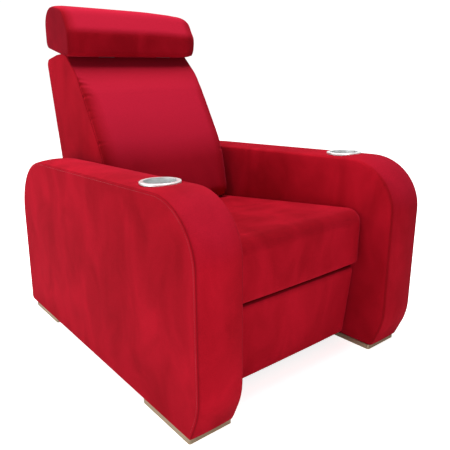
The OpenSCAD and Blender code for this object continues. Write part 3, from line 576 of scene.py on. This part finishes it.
# the velvet is drawn a little at both seams, and once in the middle under the headrest
draw = np.random.default_rng(9)
creases = []
for z in (560, 640, 716, 742, 790, 828, 846):
    y = float(np.interp(z, [409, 600, 860, 938], [652, 690, 835, 915]))
    end = (-226 + draw.uniform(-8, 8), y - 15, z + draw.uniform(-14, 6))
    creases.append(((-256, y - 2, z), end, 5.0, draw.uniform(1.2, 2.2)))
    creases.append(((244, y - 2, z + 20), (218, y - 15, z + 24), 5.0, 1.4))
creases.append(((-60, 806, 862), (-34, 800, 852), 6.0, 1.6))
pucker(back, creases)
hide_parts("back_cushion")
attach(back, "backrest")


# Backrest shell
# A thinly padded board behind the cushion, in the same velvet, fixed to the side boards of the backrest.

SHELL_SIDE = [[880, 367], [985, 334], [1084, 926], [985, 933]]
SHELL_EDGE_R = 8.0
shell_ring, shell_out = ring_of(SHELL_SIDE, [2, 14, 24, 2], 8.0)
shell_spine = [[960, 430], [1010, 830]]
shell_soft = np.clip(shell_out[:, 0] * 1.6 - 0.15, 0, 1)[:, None]

sections = []
for x in mirrored(BACK_STATIONS):
    fall = shell_soft * edge_drop(x, BACK_HALF, SHELL_EDGE_R) * 0.9
    sections.append(section(shell_ring - shell_out * fall, x))
close_ends(sections, shell_spine, (0.06, 0.3, 0.6, 1.0), BACK_HALF)
shell = sewn("velvet_back_shell", sections, velvet)
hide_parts("back_shell")
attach(shell, "backrest")


# Backrest side panels
# One flat piece of velvet on each side, sewn over the cushion and the shell, so that no joint shows between.

SIDE_PANEL = [
    [652, 409], [745, 409], [880, 367], [985, 334], [1084, 926], [985, 938], [915, 938], [835, 860],
    [690, 600],
]
SIDE_RADII = [30, 20, 60, 14, 24, 30, 24, 150, 300]
side_ring, side_out = ring_of(SIDE_PANEL, SIDE_RADII, 8.0)
side_flat = side_ring - side_out * PANEL_INSET
side_spine = [[820, 470], [960, 860]]

for name, side in (("velvet_back_side_right", -1), ("velvet_back_side_left", 1)):
    sections = [section(toward(side_ring - side_out * 5, side_spine, 1.0), side * 257.0)]
    for inset, out in ((6.0, 257.2), (2.0, 257.4), (1.6, 258.2), (2.4, 258.8), (5.0, 259.1)):
        sections.append(section(side_ring - side_out * inset, side * out))
    sections.append(section(side_flat, side * 259.3))
    for share in (0.08, 0.2, 0.4, 0.7, 1.0):
        sections.append(section(toward(side_flat, side_spine, share), side * 259.4))
    draw_in_left(sections)
    panel = sewn(name, sections if side > 0 else sections[::-1], velvet)
    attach(panel, "backrest")


# Headrest
# A foam roll with a flat rear, sewn as a band between two side panels and fixed to its board. The right end
# is stuffed up to its seam, and the left one is worn rounder and lower.

HEAD_HALF = 270.0
HEAD_SIDE = [[865, 914], [900, 945], [1041, 963], [1034, 1104], [894, 1067], [857, 994]]
HEAD_RADII = [12, 30, 26, 60, 60, 44]
HEAD_ROLL, HEAD_FACE, HEAD_TOP = 11.0, 3.0, 4.0  # rolled face, its flat share, and the top
HEAD_SLACK = 14.0  # how far the worn end hangs in, over 3 mm all round it
head_ring, head_out = ring_of(HEAD_SIDE, HEAD_RADII, 5.0)
head_spine = [[920, 1000], [980, 1030]]
head_face = np.clip(-head_out[:, 0] * 1.4, 0, 1)[:, None]
head_top = np.clip(head_out[:, 1] * 1.2, 0, 1)[:, None]
head_soft = np.clip(head_face + head_top + 0.25, 0, 1)
head_inward = toward(head_ring, head_spine, 1.0) - head_ring
head_inward /= np.linalg.norm(head_inward, axis=1)[:, None]
head_slack = 3.0 + np.clip(head_face + head_top, 0, 1) * HEAD_SLACK
# Painted highlight at full share on the faces that slope up and forward
velvet_on_headrest = red_velvet("red_velvet_with_painted_slope_highlights", 1.0)
# darker tones for the headrest's side panels, a painted shade
velvet_with_painted_shade_on_ends = red_velvet("red_velvet_with_painted_shade_on_the_headrest_ends", 0.12, tones=("6a0712", "7e0a18"))

sections = []
for x in mirrored([
    0, 12, 28, 48, 72, 98, 124, 148, 168, 186, 201, 214, 225, 235, 243, 250, 256, 260.5, 264, 266.5, 268.3,
    269.4,
]):
    roll = edge_roll(HEAD_HALF - abs(x), 44 if x < 0 else 60)
    rise = head_face * (HEAD_ROLL * roll + HEAD_FACE) + head_top * (HEAD_TOP * roll)
    rise = rise - HEAD_FACE * head_face * (abs(x) / HEAD_HALF) ** 4
    slack = head_inward * head_slack * (1 - edge_roll(HEAD_HALF - x, 62))
    sections.append(section(head_ring + head_out * rise + slack, x))
left_end, right_end = sections[-1][:, 1:], head_ring
for share, out in ((0.01, 269.9), (0.03, 270.3), (0.06, 270.4), (0.12, 270.5), (0.25, 270.5), (0.5, 270.5),
                   (0.8, 270.5), (1.0, 270.5)):
    sections.append(section(toward(left_end, head_spine, share), out))
    sections.insert(0, section(toward(right_end, head_spine, share), -out))
# The top slopes a little to the left, and the worn end sinks, leans back and tucks in below
for s in sections:
    worn = smooth((s[:, 0] - 60) / 210)
    high = smooth((s[:, 2] - 930) / 150)
    s[:, 2] -= (0.012 * s[:, 0] + 5 * worn) * high
    s[:, 1] += 5 * worn * smooth((s[:, 2] - 900) / 120) * smooth((1010 - s[:, 1]) / 120)
    s[:, 0] -= 12 * smooth((s[:, 0] - 150) / 120) * smooth((980 - s[:, 2]) / 80)
head = sewn("velvet_headrest", sections, velvet_on_headrest)
stuff(head, held_share(sections, head_soft, 8, HEAD_HALF, 12), pressure=3.0, cap=6.0)
finer(head)
# the two side panels are painted darker, a painted shade, and have no band of painted seam shade
head.data.materials[1] = velvet_with_painted_shade_on_ends
for face in head.data.polygons:
    face.material_index = int(abs(face.normal.x) > 0.8)
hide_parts("headrest_cushion")
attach(head, "headrest")


# Footrest pad
# Thin foam on the footrest board, its velvet drawn round the edges and gathered a little over the top one.

PAD_HALF = 276.0
PANEL_Y, PANEL_Z = 104, 266  # top of the pad's front face
PANEL_LEAN = math.radians(6.2)


def on_panel(back, down):
    """Point on the leaning panel, from its front face back and from its top down."""
    sine, cosine = math.sin(PANEL_LEAN), math.cos(PANEL_LEAN)
    return [PANEL_Y + back * cosine + down * sine, PANEL_Z + back * sine - down * cosine]


PAD_SIDE = [on_panel(0, 240), on_panel(38, 240), on_panel(38, 9.2), on_panel(0, 6.5)]
pad_ring, pad_out = ring_of(PAD_SIDE, [9.5, 3.2, 3.2, 13.3], 5.0)
pad_spine = [on_panel(20, 200), on_panel(20, 40)]
pad_face = np.clip(-pad_out[:, 0] * 1.2, 0, 1)[:, None]
PAD_CROWN, PAD_EDGE_R = 2.5, 10.0

sections = []
for x in mirrored([
    0, 10, 24, 44, 68, 94, 122, 150, 178, 202, 222, 238, 250, 258, 264, 268, 271, 273.5, 275.2, 276,
]):
    rise = pad_face * (PAD_CROWN * (1 - (abs(x) / PAD_HALF) ** 3) - edge_drop(x, PAD_HALF, PAD_EDGE_R) * 0.9)
    sections.append(section(pad_ring + pad_out * rise, x))
close_ends(sections, pad_spine, (0.15, 0.5, 1.0), PAD_HALF)
pad = sewn("velvet_footrest_pad", sections, velvet)
stuff(pad, held_share(sections, pad_face, 3, PAD_HALF, 14), pressure=2.0, cap=4.0)
finer(pad)
# its top, under the gap to the seat, is painted darker, a painted shade
for face in pad.data.polygons:
    face.material_index = int(face.normal.z > 0.75)
draw = np.random.default_rng(4)
gathers = []
for x in np.arange(-250, 255, 34.0):
    x += draw.uniform(-10, 10)
    low = on_panel(-3, draw.uniform(22, 44))
    end = (x + draw.uniform(-8, 8), *low)
    gathers.append(((x, *on_panel(-3, 6)), end, draw.uniform(4, 6.5), draw.uniform(1.0, 2.0)))
pucker(pad, gathers)
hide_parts("ottoman_pad")
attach(pad, "footrest")


# Footrest edge
# The same velvet carries on from the pad over the edges of the footrest board and is stapled to its rear.

EDGE_HALF, EDGE_TOP, EDGE_LOW = 270.0, 8.0, 240.6
edge_corners = [[-EDGE_HALF, EDGE_TOP], [EDGE_HALF, EDGE_TOP], [EDGE_HALF, EDGE_LOW], [-EDGE_HALF, EDGE_LOW]]
edge_ring, edge_out = ring_of(edge_corners, [3, 3, 3, 3], 6.0)

rows = []
# from the pad's edge back over the board's edge, 18 mm in over its rear, and back inside the cloth's thickness
for inset, depth, wider in (
    (0.0, 34.0, 4.6), (0.0, 44.0, 3.0), (0.0, 52.6, 0.0), (0.5, 53.9, 0.0), (1.6, 54.4, 0.0),
    (18.0, 54.4, 0.0), (18.0, 53.5, 0.0), (0.9, 53.5, 0.0), (0.9, 44.0, 2.2), (0.9, 34.0, 3.8),
    (0.0, 34.0, 4.6),
):
    p = edge_ring - edge_out * inset
    rows.append(np.column_stack([p[:, 0] * (1 + wider / EDGE_HALF), *on_panel(depth, p[:, 1])]))
wrap = sewn("velvet_footrest_edge", rows, velvet)
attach(wrap, "footrest")


# Rigid pieces
# They keep the frame's meshes and get a material.

def finish(material, names):
    for name in names:
        nodes[name].data.materials.clear()
        nodes[name].data.materials.append(material)


def brushed_metal(name, colour, stretch, detail, roughness):
    """Metal with fine lines of rougher and smoother polish, which run along the axis of least stretch."""
    metal, shader, place = new_material(name)
    lines = add(metal, "ShaderNodeMapping", {"Vector": place, "Scale": stretch}).outputs["Vector"]
    polish = ramp(metal, noise(metal, lines, 1.0, detail), 0.0, 1.0, *roughness)
    feed(metal, shader, {"Base Color": linear(colour), "Roughness": polish, "Metallic": 1.0})
    return metal


def grained(name, colour, roughness, scale, detail, strength, depth):
    """Paint or plastic with a fine grain."""
    skin, shader, place = new_material(name)
    grain = bumps(skin, noise(skin, place, scale, detail), strength, depth)
    feed(skin, shader, {"Base Color": linear(colour), "Roughness": roughness, "Normal": grain})
    return skin


# Cup holders: deep-drawn stainless steel with a rolled rim, dropped into the arms' tops
polished = brushed_metal("polished_stainless_steel", "dcdfdf", (160.0, 160.0, 6.0), 2.0, (0.36, 0.46))
finish(polished, ["cup_holder_right", "cup_holder_left"])

# Feet: folded sheet metal with a satin champagne finish, screwed up into the arms' boxes
champagne = brushed_metal("satin_champagne_metal", "b4a68c", (12.0, 12.0, 900.0), 3.0, (0.34, 0.48))
finish(champagne, [
    "foot_front_right", "foot_front_left", "foot_rear_right", "foot_rear_left",
])

# Mechanism: plates, tubes, links and hinges of black painted steel
steel = grained("black_painted_steel", "26272a", 0.45, 900.0, 2.0, 0.15, 0.0003)
finish(steel, [
    "mechanism_plate_right", "mechanism_plate_left", "seat_support_bars", "cross_tube_front",
    "cross_tube_rear", "back_hinge_arms", "back_crank", "head_hinge_lower", "head_hinge_upper", "drive_tube",
    "ottoman_bracket_right", "ottoman_bracket_left", "front_link_right", "front_link_left",
    "rear_link_right", "rear_link_left", "reach_link_right", "reach_link_left", "tilt_link_right",
    "tilt_link_left",
])

# Fasteners, springs and the actuators' rails: zinc-plated steel, with the plating's faint cells
zinc, shader, place = new_material("zinc_plated_steel")
cells = add(zinc, "ShaderNodeTexVoronoi", {"Vector": place, "Scale": 140.0}).outputs["Distance"]
feed(zinc, shader, {
    "Base Color": linear("a9adb0"), "Roughness": ramp(zinc, cells, 0.0, 1.0, 0.3, 0.5), "Metallic": 1.0,
})
finish(zinc, [
    "foot_screws", "plate_bolts", "back_pivot_pins", "seat_springs", "back_springs", "ottoman_rail",
    "back_rail",
])

# Boards and rails of the frames: birch plywood, sawn and unpainted
plywood, shader, place = new_material("birch_plywood")
grain_way = add(plywood, "ShaderNodeMapping", {"Vector": place, "Scale": (3.0, 3.0, 60.0)}).outputs["Vector"]
grain = noise(plywood, grain_way, 3.0, 5.0, Distortion=1.2)
feed(plywood, shader, {"Base Color": mix(plywood, grain, "b99468", "d9bd92"), "Roughness": 0.7})
finish(plywood, [
    "arm_frame_right", "arm_frame_left", "seat_side_rails", "seat_cross_rails", "back_side_boards",
    "back_cross_rails", "head_board", "ottoman_board",
])

# Switch, control box, inlet and actuator housings: moulded black plastic with a fine spark-eroded texture
plastic = grained("black_abs_plastic", "1b1b1d", 0.5, 1600.0, 1.0, 0.2, 0.0002)
finish(plastic, [
    "switch_plate", "rocker_back", "rocker_footrest", "power_inlet", "control_box", "ottoman_motor",
    "back_motor", "ottoman_slider", "back_slider",
])


# Studio
# White paper on the floor and four soft white lights: one overhead, one at the left behind the seat, one at
# the left, and a low one in front. The camera and mirror-like faces see a brighter world than lights the seat.

paper, shader, _ = new_material("white_floor")
# Over-exposed for the camera, more so away from the seat, so that only the shadow at the feet is left
around = add(paper, "ShaderNodeNewGeometry").outputs["Position"]
apart = add(paper, "ShaderNodeVectorMath", {0: around}, operation="LENGTH").outputs["Value"]
seen = add(paper, "ShaderNodeLightPath").outputs["Is Camera Ray"]
feed(paper, shader, {
    "Base Color": linear("f4f4f4"), "Roughness": 0.9, "Specular IOR Level": 0.0,
    "Emission Color": (1, 1, 1, 1),
    "Emission Strength": maths(paper, "MULTIPLY", ramp(paper, apart, 0.5, 1.3, 0.75, 1.2), seen),
})
bpy.ops.mesh.primitive_plane_add(size=14, location=(0, 3, 0))
floor = bpy.context.object
floor.name = "floor"
floor.data.materials.append(paper)
floor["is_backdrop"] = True

world = bpy.data.worlds.new("studio")
bpy.context.scene.world = world
world.use_nodes = True
lit_by = world.node_tree.nodes["Background"]
feed(world, lit_by, {"Color": (1, 1, 1, 1), "Strength": 0.18})
behind = add(world, "ShaderNodeBackground", {"Color": (1, 1, 1, 1), "Strength": 1.05})
rays = add(world, "ShaderNodeLightPath").outputs
choice = add(world, "ShaderNodeMixShader", {
    "Fac": maths(world, "MAXIMUM", rays["Is Camera Ray"], rays["Is Glossy Ray"]),
    1: lit_by.outputs["Background"], 2: behind.outputs["Background"],
})
feed(world, world.node_tree.nodes["World Output"], {"Surface": choice.outputs["Shader"]})

for name, place, target, size, power in (
    ("overhead", (-0.1, 0.06, 3.2), (0, 0.1, 0.5), (1.2, 1.1), 98),
    ("left_rear", (-2.4, 1.6, 1.6), (0, 0, 0.5), (1.4, 1.4), 38),
    ("front", (-0.6, -1.95, 0.32), (-0.22, -0.5, 0.35), (1.0, 0.5), 16),
    ("left", (-3.0, -0.2, 0.85), (0, 0, 0.4), (1.6, 1.6), 26),
):
    light = bpy.data.lights.new(name, "AREA")
    light.shape = "RECTANGLE"
    light.size, light.size_y = size
    light.energy = power
    lamp = bpy.data.objects.new(name, light)
    lamp.location = place
    lamp.rotation_euler = (Vector(target) - Vector(place)).to_track_quat("-Z", "Y").to_euler()
    bpy.context.scene.collection.objects.link(lamp)


# Camera, at the photograph's place

lens = bpy.data.cameras.new("camera")
lens.lens = 38.77
lens.sensor_width = 36
lens.shift_x = 0.1222
camera = bpy.data.objects.new("camera", lens)
bpy.context.scene.collection.objects.link(camera)
camera.matrix_world = (
    Matrix.Translation((-0.9698, -1.2729, 0.7948))
    @ Matrix.Rotation(math.radians(-34.2268), 4, "Z")
    @ Matrix.Rotation(math.radians(90 - 15.3369), 4, "X")
    @ Matrix.Rotation(math.radians(-2.2234), 4, "Z")
)
bpy.context.scene.camera = camera
bpy.context.scene.view_settings.view_transform = "Standard"

low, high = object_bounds()
